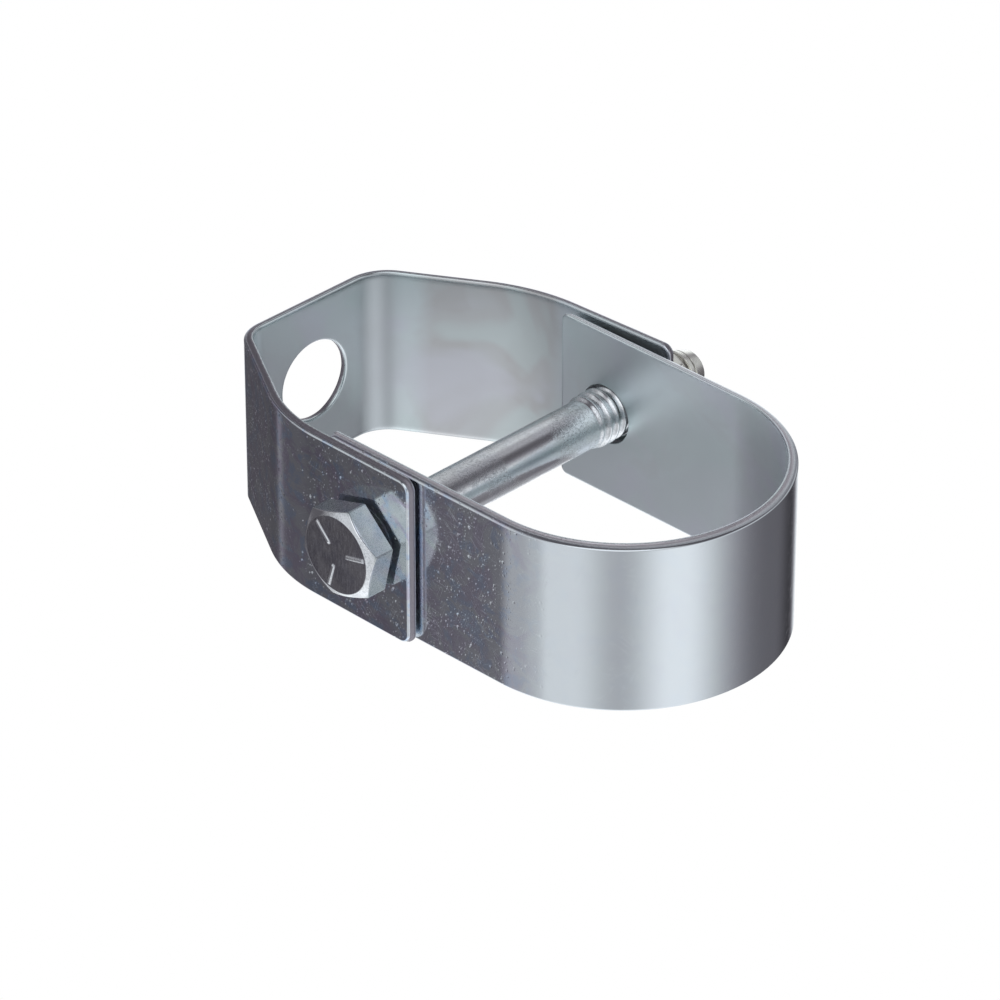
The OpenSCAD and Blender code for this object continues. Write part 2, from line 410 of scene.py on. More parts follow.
@dataclass(frozen=True)
class FoldedStrap:
    """A strip of sheet with rounded corners and punched holes, folded along a path."""

    path: FoldedPath
    holes: tuple[Hole, ...]
    width: float = 25.4
    sheet: float = 1.45
    corner: float = 1.8
    edge: SheetEdge = SheetEdge()
    step: float = 1.6
    bend_step: float = math.radians(1.6)
    rows: int = 10

    def _stations(self) -> np.ndarray:
        """Places stations that follow the corners, the holes and the bends closely.

        Returns:
            Sorted stations.
        """
        length = self.path.breaks()[-1]
        turn = np.linspace(0, math.pi / 2, 10)
        corner = self.corner - (self.corner - self.edge.margin) * np.cos(turn)
        round_hole = np.cos(np.linspace(math.pi, 0, 61))
        holes = [h.station + (h.radius + h.edge.margin) * round_hole for h in self.holes]
        stops = [corner, length - corner, self.path.bend_stations(self.bend_step), *holes]
        return spread(np.concatenate(stops), self.step)

    def _half_width(self, station: np.ndarray) -> np.ndarray:
        """Finds half the width of the flat face: less by the margin, and rounded to a circle at the ends.

        Args:
            station: Stations along the strap.

        Returns:
            Half the width at each.
        """
        length = self.path.breaks()[-1]
        radius = self.corner - self.edge.margin
        inside = np.clip(self.corner - np.minimum(station, length - station), 0, radius)
        return self.width / 2 - self.corner + np.sqrt(np.maximum(radius**2 - inside**2, 0))

    def _hole_edge(self, station: np.ndarray) -> np.ndarray:
        """Finds how far a hole's edge is from the middle of the strap: a circle's height, or 0 off the holes.

        Args:
            station: Stations along the strap.

        Returns:
            The distance at each.
        """
        squares = [(h.radius + h.edge.margin) ** 2 - (station - h.station) ** 2 for h in self.holes]
        edge = np.sqrt(np.maximum(np.max(np.stack(squares), axis=0), 0))
        return np.where(edge < 20 * WELD_STEP, 0, edge)

    def _fold(self, s: np.ndarray, y: np.ndarray, n: np.ndarray) -> np.ndarray:
        """Folds points of the flat strip: the middle line's point, plus the height times the outward normal.

        Args:
            s: Station along the strip.
            y: Place across the strip.
            n: Height above the middle of the sheet.

        Returns:
            Points in millimetres, in the frame in which it hangs.
        """
        middle, out = self.path.place(s)
        flat = middle + out * n[..., None]
        return np.stack([flat[..., 0], y, flat[..., 1]], -1)

    def _face(self, side: int, half: int) -> Patch:
        """Makes one half of a face, from the middle or the hole's edge out to the margin.

        Args:
            side: 1 for the outer face, -1 for the inner face.
            half: 1 for the half at positive Y, -1 for the other.

        Returns:
            The patch.
        """
        station = self._stations()[:, None]
        share = np.linspace(0, 1, self.rows)[None, :]
        low, high = self._hole_edge(station), self._half_width(station)
        y = half * (low + share * (high - low))
        s = np.broadcast_to(station, y.shape)
        uv = np.stack([s, y + (1 - side) * self.width], -1) / UV_SPAN
        points = self._fold(s, y, np.full(y.shape, side * self.sheet / 2))
        return grid_patch(points, uv, outer=(1 + side) / 2, flip=side * half < 0)

    def _outline(self) -> Outline:
        """Walks round the flat face.

        Returns:
            Stations, places across, and the two parts of the outward normal.
        """
        station = self._stations()
        high = self._half_width(station)
        share = np.linspace(0, 1, self.rows)
        end = np.concatenate([-share[:0:-1], share]) * high[0]
        first, last = np.full(end.size, station[0]), np.full(end.size, station[-1])
        s = np.concatenate([station, last, station[::-1], first])
        y = np.concatenate([-high, end, high[::-1], end[::-1]])
        length = self.path.breaks()[-1]
        along = s - np.clip(s, self.corner, length - self.corner)
        across = y - np.clip(y, self.corner - self.width / 2, self.width / 2 - self.corner)
        size = np.hypot(along, across)
        return s, y, along / size, across / size

    def _hole_outline(self, hole: Hole) -> Outline:
        """Walks round a hole, with the sheet on the left.

        Args:
            hole: The hole.

        Returns:
            The same as for the flat face.
        """
        reach = hole.radius + hole.edge.margin
        station = self._stations()
        station = station[np.abs(station - hole.station) < reach + 10 * WELD_STEP]
        edge = self._hole_edge(station)
        s = np.concatenate([station, station[::-1]])
        y = np.concatenate([edge, -edge[::-1]])
        return s, y, (hole.station - s) / reach, -y / reach

    def _edge(self, outline: Outline, edge: SheetEdge) -> list[Patch]:
        """Carries an edge's section round an outline.

        The map of each side is the flat strip's, rolled out along the outward normal by the way down the wall.

        Args:
            outline: Stations, places across, and the two parts of the outward normal.
            edge: Section of the edge.

        Returns:
            The outer side with the wall, and the inner roll.
        """
        s, y, along, across = (np.append(a, a[0])[:, None] for a in outline)
        patches = []
        sides = ((1, edge.outer_side(self.sheet)), (-1, edge.inner_side(self.sheet)))
        for side, (push, height, wall) in sides:
            s_out, y_out = s + along * push, y + across * push
            points = self._fold(s_out, y_out, np.broadcast_to(height, s_out.shape))
            down = self.sheet / 2 - side * height
            aside = (1 - side) * self.width
            uv = np.stack([s_out + along * down, y_out + across * down + aside], -1) / UV_SPAN
            depth = np.clip(height / self.sheet + 0.5, 0, 1)
            patches.append(grid_patch(points, uv, rim=wall[None, :], outer=depth, flip=True))
        return patches

    def build(self, name: str) -> bpy.types.Object:
        """Builds the strap as one closed shell.

        Args:
            name: Name of the piece.

        Returns:
            The object.
        """
        faces = [self._face(side, half) for side in (1, -1) for half in (1, -1)]
        edges = self._edge(self._outline(), self.edge)
        for hole in self.holes:
            edges += self._edge(self._hole_outline(hole), hole.edge)
        return Shell(faces + edges).to_object(name)


# Bolt and nut


def hex_reach(angle: np.ndarray, flats: float, turn: float, softness: float) -> np.ndarray:
    """Distance from the axis to a hexagon with softened corners.

    On a flat it is half the width across flats over the cosine of the angle from the flat's middle. Near a
    corner it is the far side of a small circle that touches both flats.

    Args:
        angle: Angles about the axis.
        flats: Width across the flats.
        turn: Angle of one corner.
        softness: Radius of the corner circle.

    Returns:
        The distances.
    """
    sixth = math.pi / 3
    off_flat = (angle - turn) % sixth - sixth / 2
    off_corner = (angle - turn + sixth / 2) % sixth - sixth / 2
    flat = flats / 2 / np.cos(off_flat)
    centre = (flats / 2 - softness) / math.cos(sixth / 2)
    inside = np.maximum(softness**2 - (centre * np.sin(off_corner)) ** 2, 0)
    rounded = centre * np.cos(off_corner) + np.sqrt(inside)
    near = np.abs(off_corner) < np.arctan2(softness * 0.5, flats / 2 / math.cos(sixth / 2) - softness)
    return np.where(near, np.minimum(flat, rounded), flat)


def soften(line: np.ndarray, reach: tuple[float, ...], cuts: int = 4) -> np.ndarray:
    """Rounds the corners of many lines at once.

    Each corner gives way to a curve between a point before it and a point after it, pulled towards the corner:
    the sum of the three, weighed by the squares and the product of the two shares of the way.

    Args:
        line: Lines, corners and 2 coordinates.
        reach: Distance from each inner corner at which its curve starts, 0 for a corner that stays sharp.
        cuts: Number of cells along a curve.

    Returns:
        Lines with more points.
    """
    t = np.linspace(0, 1, cuts + 1)[None, :, None]
    parts = [line[:, :1]]
    for i, r in enumerate(reach, start=1):
        here = line[:, i:i + 1]
        if r == 0:
            parts.append(here)
            continue
        before, after = line[:, i - 1:i] - here, line[:, i + 1:i + 2] - here
        gap_before = np.linalg.norm(before, axis=-1, keepdims=True)
        gap_after = np.linalg.norm(after, axis=-1, keepdims=True)
        start = here + before / gap_before * np.minimum(r, 0.45 * gap_before)
        end = here + after / gap_after * np.minimum(r, 0.45 * gap_after)
        parts.append((1 - t) ** 2 * start + 2 * t * (1 - t) * here + t**2 * end)
    return np.concatenate(parts + [line[:, -1:]], axis=1)


def ring_corners(angle: np.ndarray, *corners: tuple[float | np.ndarray, float | np.ndarray]) -> np.ndarray:
    """Makes one line for each angle.

    Args:
        angle: Angles about the axis.
        corners: Place along the axis and distance from it, each one number or one for each angle.

    Returns:
        Lines, corners and 2 coordinates.
    """
    full = [[np.broadcast_to(value, angle.shape) for value in corner] for corner in corners]
    return np.stack([np.stack(pair, -1) for pair in full], 1)


def ring_patch(profile: np.ndarray, angle: np.ndarray, axis_z: float, rim: float | np.ndarray = 0.0) -> Patch:
    """Stands lines round the bolt's axis, which runs along X.

    Args:
        profile: For each angle, points of X along the axis and distance from it.
        angle: Angles about the axis, from downwards towards minus Y, with the first repeated at the end.
        axis_z: Height of the axis.
        rim: 1 on the plain face of the bolt's head, 0 elsewhere.

    Returns:
        The patch.
    """
    x, r = profile[..., 0], profile[..., 1]
    turn = angle[:, None]
    points = np.stack([x, -r * np.sin(turn), axis_z - r * np.cos(turn)], -1)
    girth = np.broadcast_to(turn * GIRTH_RADIUS, x.shape)
    run = np.cumsum(np.hypot(np.diff(x, prepend=x[:, :1]), np.diff(r, prepend=r[:, :1])), axis=1)
    return grid_patch(points, np.stack([run, girth], -1) / UV_SPAN, rim=rim)


@dataclass(frozen=True)
class Thread:
    """A right-hand rolled thread."""

    pitch: float = 1.411
    crest: float = 3.95
    depth: float = 0.8655
    shank: float = 3.5
    start: float = 16.9
    end: float = 38.81
    point: float = 2.71
    taper: float = 0.35
    run_out: float = 2.4
    run_in: float = 0.3
    crown: float = 0.9
    lead: float = 0.45
    cells: int = 22
    plain_cells: int = 24

    def radius(self, x: np.ndarray, angle: np.ndarray) -> np.ndarray:
        """Distance of the thread from its axis.

        The share of a turn is the way along the axis over the pitch, less the turn about the axis. The ridge is
        a power of the sine of half a turn, so that its crest is round and its root sharp. It grows out of the
        shank over the run-out and is cut by a cone at the point.

        Args:
            x: Places along the axis.
            angle: Angles about the axis.

        Returns:
            The distances.
        """
        share = ((x - self.start) / self.pitch - angle / (2 * math.pi)) % 1.0
        ridge = np.abs(np.sin(math.pi * share)) ** self.crown
        full = self.crest - self.depth * (1 - ridge)
        grow = np.clip((x - self.start + self.run_in * self.pitch) / self.run_out, 0, 1)
        grow = grow * grow * (3 - 2 * grow)
        body = self.shank + (full - self.shank) * grow
        cone = self.point + (self.end - x) * self.taper
        return np.minimum(body, cone)

    def stations(self, first: float) -> np.ndarray:
        """Places stations from a first place to the end, close together where there is thread.

        Args:
            first: Where the shank starts.

        Returns:
            The stations.
        """
        near = self.start - self.lead * self.pitch
        plain = np.linspace(first, near, self.plain_cells, endpoint=False)
        count = math.ceil((self.end - near) / self.pitch * self.cells)
        return np.concatenate([plain, np.linspace(near, self.end, count)])


@dataclass(frozen=True)
class CrossBolt:
    """The cross bolt: a hexagon head with a washer face and three plain grade lines, a shank and a thread."""

    seat: float = -25.60
    axis_z: float = -36.1
    flats: float = 12.3
    head_height: float = 4.153
    washer: float = 0.18
    washer_radius: float = 5.1
    face_share: float = 0.463
    head_turn: float = 16.8
    line_height: float = 0.15
    line_turn: float = -106.5
    line_from: float = 1.85
    line_to: float = 5.29
    line_width: float = 0.5
    line_bevel: float = 0.18
    chamfer: float = math.radians(30)
    face_margin: float = 0.12
    neck_reach: float = 0.5
    neck_round: float = 0.25
    softness: float = 0.3
    rounds: tuple[float, ...] = (0.2, 0.16, 0.18, 0.0, 0.12)
    thread: Thread = field(default_factory=Thread)
    head_cells: int = 384
    shank_cells: int = 96
    face_rings: int = 49
    tip_rings: int = 9

    def _lines(self, angle: np.ndarray, radius: np.ndarray) -> np.ndarray:
        """Height of the grade lines above the head's face.

        Each line is a bar along a ray, and its height falls off smoothly over its sides: 1 inside, 0 outside.

        Args:
            angle: Angles about the axis.
            radius: Distances from the axis.

        Returns:
            Heights in millimetres.
        """
        third = 2 * math.pi / 3
        off = (angle - math.radians(self.line_turn) + third / 2) % third - third / 2
        along, across = radius * np.cos(off), radius * np.sin(off)
        half, bevel = self.line_bevel / 2, self.line_bevel
        side = np.clip((self.line_width / 2 + half - np.abs(across)) / bevel, 0, 1)
        ends = (np.clip((along - self.line_from + half) / bevel, 0, 1)
                * np.clip((self.line_to + half - along) / bevel, 0, 1))
        bar = side * ends
        return self.line_height * bar * bar * (3 - 2 * bar)

    def build(self, name: str) -> bpy.types.Object:
        """Builds the bolt as one closed shell.

        Args:
            name: Name of the piece.

        Returns:
            The object.
        """
        angle = np.linspace(0, 2 * math.pi, self.head_cells + 1)
        every = self.head_cells // self.shank_cells
        few = angle[::every]
        snapped = angle[(np.arange(angle.size) // every) * every]
        return Shell([*self._head(angle), self._collar(angle, snapped), self._shank(few)]).to_object(name)

    def _head(self, angle: np.ndarray) -> tuple[Patch, Patch]:
        """Makes the face with its grade lines, and the rest of the head round to the seat.

        Args:
            angle: Angles about the axis.

        Returns:
            Both patches.
        """
        hexagon = hex_reach(angle, self.flats, math.radians(self.head_turn), self.softness)
        face = self.face_share * self.flats
        top, under = self.seat - self.head_height, self.seat - self.washer
        fall = (hexagon - face) * math.tan(self.chamfer)
        outline = ring_corners(
            angle, (top, face - self.face_margin), (top, face), (top + fall, hexagon), (under, hexagon),
            (under, self.washer_radius), (self.seat, self.washer_radius),
            (self.seat, self.thread.shank + self.neck_reach),
        )
        side = soften(outline, self.rounds)
        rings = np.linspace(0, face - self.face_margin, self.face_rings)[None, :]
        lines = self._lines(angle[:, None], rings)
        disc = np.stack(np.broadcast_arrays(top - lines, rings), -1)
        return (ring_patch(disc, angle, self.axis_z, rim=1 - lines / self.line_height),
                ring_patch(side, angle, self.axis_z))

    def _collar(self, angle: np.ndarray, snapped: np.ndarray) -> Patch:
        """Makes the flat ring of the seat, which joins the head's many lines to the shank's few.

        Args:
            angle: Angles of the head's lines.
            snapped: For each of them, the angle of the shank's line before it.

        Returns:
            The patch.
        """
        shank = self.thread.shank
        flat = ring_corners(angle, (self.seat, shank + self.neck_reach), (self.seat, shank + self.neck_round))
        outside = ring_patch(flat, angle, self.axis_z)
        inside = ring_patch(flat[:, 1:], snapped, self.axis_z)
        return grid_patch(np.concatenate([outside.points[:, :1], inside.points], 1), outside.uv)

    def _shank(self, angle: np.ndarray) -> Patch:
        """Makes the neck's round, the shank, the thread and the flat tip.

        Args:
            angle: Angles about the axis.

        Returns:
            The patch.
        """
        x = self.thread.stations(self.seat + self.neck_round)
        radius = self.thread.radius(x[None, :], angle[:, None])
        shank = np.stack([np.broadcast_to(x[None, :], radius.shape), radius], -1)
        foot = self.thread.shank
        neck = ring_corners(angle, (self.seat, foot + self.neck_round), (self.seat, foot))
        neck_line = soften(np.concatenate([neck, shank[:, :1]], 1), self.rounds[:1])
        end, shrink = shank[:, -1:], np.linspace(1, 0, self.tip_rings)[None, :]
        tip = np.stack(np.broadcast_arrays(end[..., 0], end[..., 1] * shrink), -1)
        body = np.concatenate([neck_line, shank[:, 1:], tip[:, 1:]], 1)
        return ring_patch(body, angle, self.axis_z)


@dataclass(frozen=True)
class HexNut:
    """A hexagon nut with its corners turned down at both ends and a countersunk bore."""

    seat: float = 26.16
    axis_z: float = -36.1
    flats: float = 12.5
    height: float = 6.75
    face_share: float = 0.463
    turn: float = 12.0
    bore: float = 4.0
    countersink: float = 0.3
    chamfer: float = math.radians(30)
    softness: float = 0.3
    rounds: tuple[float, ...] = (0.1, 0.1, 0.2, 0.16, 0.16, 0.2, 0.1, 0.1)
    cells: int = 240

    def build(self, name: str) -> bpy.types.Object:
        """Builds the nut as one closed shell whose profile is a closed loop for each angle.

        Args:
            name: Name of the piece.

        Returns:
            The object.
        """
        angle = np.linspace(0, 2 * math.pi, self.cells + 1)
        hexagon = hex_reach(angle, self.flats, -math.radians(self.turn), self.softness)
        face = self.face_share * self.flats
        fall = (hexagon - face) * math.tan(self.chamfer)
        low, high = self.seat, self.seat + self.height
        middle, mouth = (low + high) / 2, self.bore + self.countersink
        loop = ring_corners(
            angle, (middle, self.bore), (low + self.countersink, self.bore), (low, mouth), (low, face),
            (low + fall, hexagon), (high - fall, hexagon), (high, face), (high, mouth),
            (high - self.countersink, self.bore), (middle, self.bore),
        )
        line = soften(loop, self.rounds)
        return Shell([ring_patch(line, angle, self.axis_z)]).to_object(name)


# Finishes


Colour = tuple[float, float, float, float]
Socket = bpy.types.NodeSocket


@dataclass(frozen=True)
class Noise:
    """Fractal noise, and the range of its values that a material maps smoothly to another range.

    scale is the number of waves to the unit, and bend is how far they are pushed aside.
    """

    scale: float
    detail: float = 3.0
    rough: float = 0.55
    bend: float = 0.0
    low: float = 0.0
    high: float = 1.0
    to_low: float = 0.0
    to_high: float = 1.0


class Bench:
    """Adds nodes to one material and joins them."""

    def __init__(self, name: str) -> None:
        """Starts an empty material.

        Args:
            name: Name of the material.
        """
        self.material = bpy.data.materials.new(name)
        self.material.use_nodes = True
        self.tree = self.material.node_tree
        self.tree.nodes.clear()

    def add(self, kind: str, inputs: dict[str | int, object] | None = None,
            **settings: object) -> bpy.types.Node:
        """Adds a node.

        Args:
            kind: Blender's name of the node type.
            inputs: Values or output sockets for the node's inputs.
            settings: Values for the node's own properties.

        Returns:
            The node.
        """
        node = self.tree.nodes.new(kind)
        for key, value in settings.items():
            setattr(node, key, value)
        for key, value in (inputs or {}).items():
            if isinstance(value, Socket):
                self.tree.links.new(value, node.inputs[key])
            else:
                node.inputs[key].default_value = value
        return node

    def math(self, operation: str, first: object, second: object = 0.0, clamp: bool = False) -> Socket:
        """Returns the result of a Math node."""
        node = self.add("ShaderNodeMath", {0: first, 1: second}, operation=operation, use_clamp=clamp)
        return node.outputs[0]

    def times(self, first: object, second: object) -> Socket:
        """Returns the product of two values."""
        return self.math("MULTIPLY", first, second)

    def plus(self, first: object, second: object, clamp: bool = False) -> Socket:
        """Returns the sum of two values."""
        return self.math("ADD", first, second, clamp)

    def ramp(self, value: object, low: float, high: float, to_low: float = 0.0, to_high: float = 1.0) -> Socket:
        """Returns a value mapped smoothly from one range to another."""
        inputs = {"Value": value, "From Min": low, "From Max": high, "To Min": to_low, "To Max": to_high}
        return self.add("ShaderNodeMapRange", inputs, interpolation_type="SMOOTHSTEP").outputs[0]

    def window(self, value: Socket, rise: tuple[float, float], fall: tuple[float, float],
               unit: float) -> Socket:
        """Returns 1 from the end of a rise to the start of a fall, both in one unit, and 0 outside them."""
        up = self.ramp(value, rise[0] * unit, rise[1] * unit)
        return self.times(up, self.ramp(value, fall[0] * unit, fall[1] * unit, 1.0, 0.0))

    def noise(self, where: Socket, kind: Noise) -> Socket:
        """Returns fractal noise between 0 and 1."""
        inputs = {"Scale": kind.scale, "Detail": kind.detail, "Roughness": kind.rough, "Distortion": kind.bend}
        return self.add("ShaderNodeTexNoise", {"Vector": where, **inputs}).outputs["Fac"]

    def mapped(self, where: Socket, kind: Noise) -> Socket:
        """Returns fractal noise with its range mapped smoothly to the other."""
        return self.ramp(self.noise(where, kind), kind.low, kind.high, kind.to_low, kind.to_high)

    def millimetres(self, where: Socket, scale: tuple[float, ...], seed: float) -> Socket:
        """Returns coordinates scaled to millimetres and moved along by a seed."""
        inputs = {"Vector": where, "Scale": scale, "Location": (seed, 0.0, 0.0)}
        return self.add("ShaderNodeMapping", inputs).outputs[0]

    def placed(self, where: Socket, scale: tuple[float, float, float], turn: float = 0.0) -> Socket:
        """Returns coordinates turned about the third axis, then stretched."""
        turned = self.add("ShaderNodeMapping", {"Vector": where, "Rotation": (0.0, 0.0, turn)}).outputs[0]
        return self.add("ShaderNodeMapping", {"Vector": turned, "Scale": scale}).outputs[0]

    def mark(self, name: str) -> Socket:
        """Returns one of the marks that the mesh's points carry."""
        return self.add("ShaderNodeAttribute", attribute_name=name).outputs["Fac"]

    def mix(self, share: Socket, first: object, second: object) -> Socket:
        """Returns a mix of two numbers."""
        return self.add("ShaderNodeMix", {0: share, 2: first, 3: second}).outputs[0]

    def blend(self, share: Socket, first: object, second: object) -> Socket:
        """Returns a mix of two colours."""
        return self.add("ShaderNodeMix", {0: share, 6: first, 7: second}, data_type="RGBA").outputs[2]

    def bump(self, height: Socket, depth: float, strength: object = 1.0, below: Socket | None = None,
             invert: bool = False) -> Socket:
        """Bumps the surface by a height, on top of the bumps below it.

        Args:
            height: Height between 0 and 1.
            depth: Distance from height 0 to height 1, in metres.
            strength: Share of the bump that shows.
            below: Normal that is bumped, or none for the surface's own.
            invert: Whether a height goes into the surface.

        Returns:
            The normal.
        """
        inputs = {"Strength": strength, "Distance": depth, "Height": height}
        if below is not None:
            inputs["Normal"] = below
        return self.add("ShaderNodeBump", inputs, invert=invert).outputs[0]

    def metal(self, colour: Socket, rough: Socket, normal: Socket) -> bpy.types.Material:
        """Returns the material as metal of this colour, roughness and normal."""
        inputs = {"Base Color": colour, "Metallic": 1.0, "Roughness": rough, "Normal": normal}
        return self.finish(self.add("ShaderNodeBsdfPrincipled", inputs).outputs[0])

    def finish(self, surface: Socket) -> bpy.types.Material:
        """Joins a surface to the output and returns the material."""
        self.add("ShaderNodeOutputMaterial", {"Surface": surface})
        return self.material


@dataclass(frozen=True)
class SheetMarks:
    """Sockets that the colour, the roughness and the bumps of a sheet share.

    body and strip are coordinates in millimetres, and station is the place along the strap on its map. The
    others lie between 0 and 1: rim on edges, depth from the inner to the outer side, outer on the outer
    side, worn along the worn stretch, torn on the torn part of an edge and rolled_over on the round beside the
    outer face.
    """

    body: Socket
    strip: Socket
    station: Socket
    rim: Socket
    depth: Socket
    outer: Socket
    worn: Socket
    clouds: Socket
    tear: Socket
    torn: Socket
    rolled_over: Socket
    scratches: Socket


@dataclass(frozen=True)
class ZincSheet:
    """Bright zinc plate on rolled sheet: polished outside, satin inside, torn at the sheared edges.

    Places along the strap are in millimetres, and depths of bumps in metres.
    """

    name: str
    silver: Colour = (0.70, 0.74, 0.76, 1.0)
    violet: Colour = (0.60, 0.57, 0.68, 1.0)
    blue: Colour = (0.55, 0.66, 0.80, 1.0)
    satin: Colour = (0.69, 0.75, 0.765, 1.0)
    # Painted shade: colour of a darker stretch of the inner side
    satin_shade_colour: Colour = (0.585, 0.587, 0.59, 1.0)
    satin_violet: Colour = (0.71, 0.72, 0.79, 1.0)
    satin_green: Colour = (0.66, 0.75, 0.745, 1.0)
    # Painted shade: colour that darkens the inner hollow of one bend
    crease_shade_colour: Colour = (0.46, 0.48, 0.50, 1.0)
    torn: Colour = (0.30, 0.28, 0.31, 1.0)
    roll_shade: float = 0.35
    outer_roughness: float = 0.11
    inner_roughness: float = 0.40
    torn_roughness: float = 0.48
    tarnish: float = 0.9
    # Brightness of the inner side's colour; set per piece, it paints light on the strap (1.12) and a little
    # shade on the yoke (0.97)
    satin_level: float = 1.0
    stains: Noise = Noise(0.17, 4.0, 0.6, 1.2, low=0.44, high=0.60)
    patches: Noise = Noise(0.40, 4.0, 0.6, 0.3, low=0.50, high=0.64)
    clouds: Noise = Noise(0.09, 3.0, 0.55, 0.4)
    hues: Noise = Noise(0.075, 2.0, 0.5, 0.6)
    rolling: Noise = Noise(1.0, 4.0, 0.6, low=0.45, high=0.75, to_low=-0.01, to_high=0.02)
    rolling_scale: tuple[float, float, float] = (0.12, 3.2, 1.0)
    tear: Noise = Noise(2.2, 4.0, 0.65)
    waves: Noise = Noise(0.16, 1.0)
    grain: Noise = Noise(7.0, 3.0, 0.6)
    wave_depth: float = 0.00001
    grain_depth: float = 0.0000006
    scratch_depth: float = 0.000008
    tear_depth: float = 0.0001
    pits: float = 0.000035
    pit_kinds: tuple[tuple[float, ...], ...] = ((0.5, 0.13, 0.25), (0.9, 0.18, 0.25), (1.6, 0.24, 0.2))
    pit_places: Noise = Noise(0.30, 2.0, 0.6, low=0.38, high=0.62, to_low=0.15)
    scratched: float = 1.0
    scratch_turns: tuple[float, ...] = (0.15, 0.75, 1.9, 2.6)
    scratch_scale: tuple[float, float] = (0.22, 9.0)
    scratches: Noise = Noise(1.0, 1.0, 0.5, low=0.63, high=0.75)
    scratch_places: Noise = Noise(1.0, 2.0, 0.6, low=0.46, high=0.60)
    places_scale: tuple[float, float, float] = (0.35, 0.35, 1.0)
    # Painted shade in the inner hollow of one bend: its station, and the reach over which it fades out
    crease_shade_station: float = OFF_STRAP
    crease_shade_reach: tuple[float, float] = (0.8, 4.6)
    # Painted shade along a stretch of the inner side: its first and last station, and the length over which it
    # fades in and out
    shaded_stretch: tuple[float, float] = (OFF_STRAP, OFF_STRAP + 1.0)
    shaded_stretch_fade: float = 2.0
    worn_from: float = 0.0
    worn_fade: float = 10.0
    seed: float = 0.0

    def material(self) -> bpy.types.Material:
        """Builds the material.

        The outer side is silver with faint clouds of violet and blue, the inner side a satin grey of three
        hues, and the torn part of the edges has a colour of its own.

        Returns:
            The material.
        """
        bench = Bench(self.name)
        marks = self._marks(bench)
        colour, rough = self._colour(bench, marks), self._roughness(bench, marks)
        return bench.metal(colour, rough, self._normal(bench, marks))

    def _marks(self, bench: Bench) -> SheetMarks:
        """Makes the sockets that the three parts of the material share.

        Args:
            bench: The bench of the material.

        Returns:
            The sockets.
        """
        body = bench.millimetres(bench.add("ShaderNodeTexCoord").outputs["Object"], (1 / MM,) * 3, self.seed)
        strip_map = bench.add("ShaderNodeUVMap", uv_map="strip").outputs[0]
        strip = bench.millimetres(strip_map, (UV_SPAN, UV_SPAN, 1.0), self.seed)
        station = bench.add("ShaderNodeSeparateXYZ", {0: strip_map}).outputs[0]
        first = self.worn_from - self.worn_fade
        worn = bench.ramp(station, first / UV_SPAN, self.worn_from / UV_SPAN, 0.08, 1.0)
        rim, depth = bench.mark("rim"), bench.mark("outer")
        outer = bench.ramp(depth, 0.4, 0.6)
        clouds = bench.noise(body, self.clouds)
        tear = bench.noise(body, self.tear)
        torn = bench.times(bench.ramp(bench.plus(depth, bench.times(tear, 0.25)), 0.34, 0.44), rim)
        rolled_over = bench.times(bench.ramp(depth, 0.70, 0.97, 1.0, 0.0), outer)
        scratches = bench.times(self._scratches(bench, strip), self.scratched)
        return SheetMarks(body, strip, station, rim, depth, outer, worn, clouds, tear, torn, rolled_over,
                          scratches)

    def _colour(self, bench: Bench, marks: SheetMarks) -> Socket:
        """Mixes the colour: stains and patches outside; inside, three hues and painted shade on a stretch and in
        a bend.

        Args:
            bench: The bench of the material.
            marks: Shared sockets.

        Returns:
            The colour.
        """
        tarnish = bench.times(marks.worn, self.tarnish)
        bright = self.silver
        for kind, hue in ((self.stains, self.violet), (self.patches, self.blue)):
            bright = bench.blend(bench.times(bench.mapped(marks.body, kind), tarnish), bright, hue)
        # Painted shade along a stretch of the inner side, made blotchy by the clouds
        rise, fall = ((edge - self.shaded_stretch_fade, edge + self.shaded_stretch_fade) for edge in self.shaded_stretch)
        shaded_stretch = bench.window(marks.station, rise, fall, 1 / UV_SPAN)
        shaded_stretch = bench.plus(shaded_stretch, bench.ramp(marks.clouds, 0.38, 0.62, -0.2, 0.2), clamp=True)
        hues = bench.noise(marks.body, self.hues)
        # Painted shade in the hollow of one bend: strongest near its station, gone past its far reach
        from_crease_shade = bench.math("ABSOLUTE", bench.math("SUBTRACT", marks.station, self.crease_shade_station / UV_SPAN))
        near, far = (reach / UV_SPAN for reach in self.crease_shade_reach)
        satin = self._dim(self.satin)
        for share, hue in (
            (shaded_stretch, self.satin_shade_colour),
            (bench.ramp(hues, 0.50, 0.66, 0.0, 0.55), self.satin_violet),
            (bench.ramp(hues, 0.34, 0.48, 0.55, 0.0), self.satin_green),
            (bench.ramp(from_crease_shade, near, far, 0.7, 0.0), self.crease_shade_colour),
        ):
            satin = bench.blend(share, satin, self._dim(hue))
        colour = bench.blend(marks.torn, bench.blend(marks.outer, satin, bright), self.torn)
        return bench.blend(bench.times(marks.rolled_over, self.roll_shade), colour, self.torn)

    def _roughness(self, bench: Bench, marks: SheetMarks) -> Socket:
        """Sets the roughness by side and edge, and changes it with clouds, rolling lines and scratches.

        Args:
            bench: The bench of the material.
            marks: Shared sockets.

        Returns:
            The roughness.
        """
        rolling = bench.mapped(bench.placed(marks.strip, self.rolling_scale), self.rolling)
        inside = bench.math("SUBTRACT", 1.0, marks.outer)
        rolled_in = bench.times(bench.ramp(marks.depth, 0.005, 0.05), inside)
        rough = bench.ramp(marks.outer, 0.0, 1.0, self.inner_roughness, self.outer_roughness)
        rough = bench.plus(rough, bench.ramp(marks.clouds, 0.35, 0.65, -0.01, 0.02))
        rough = bench.plus(rough, rolling)
        rough = bench.plus(rough, bench.times(marks.rolled_over, 0.10))
        rough = bench.math("SUBTRACT", rough, bench.times(rolled_in, 0.18))
        rough = bench.mix(marks.rim, rough, bench.ramp(marks.tear, 0.35, 0.65, 0.22, 0.34))
        rough = bench.mix(marks.torn, rough, self.torn_roughness)
        return bench.plus(rough, bench.times(marks.scratches, 0.12))

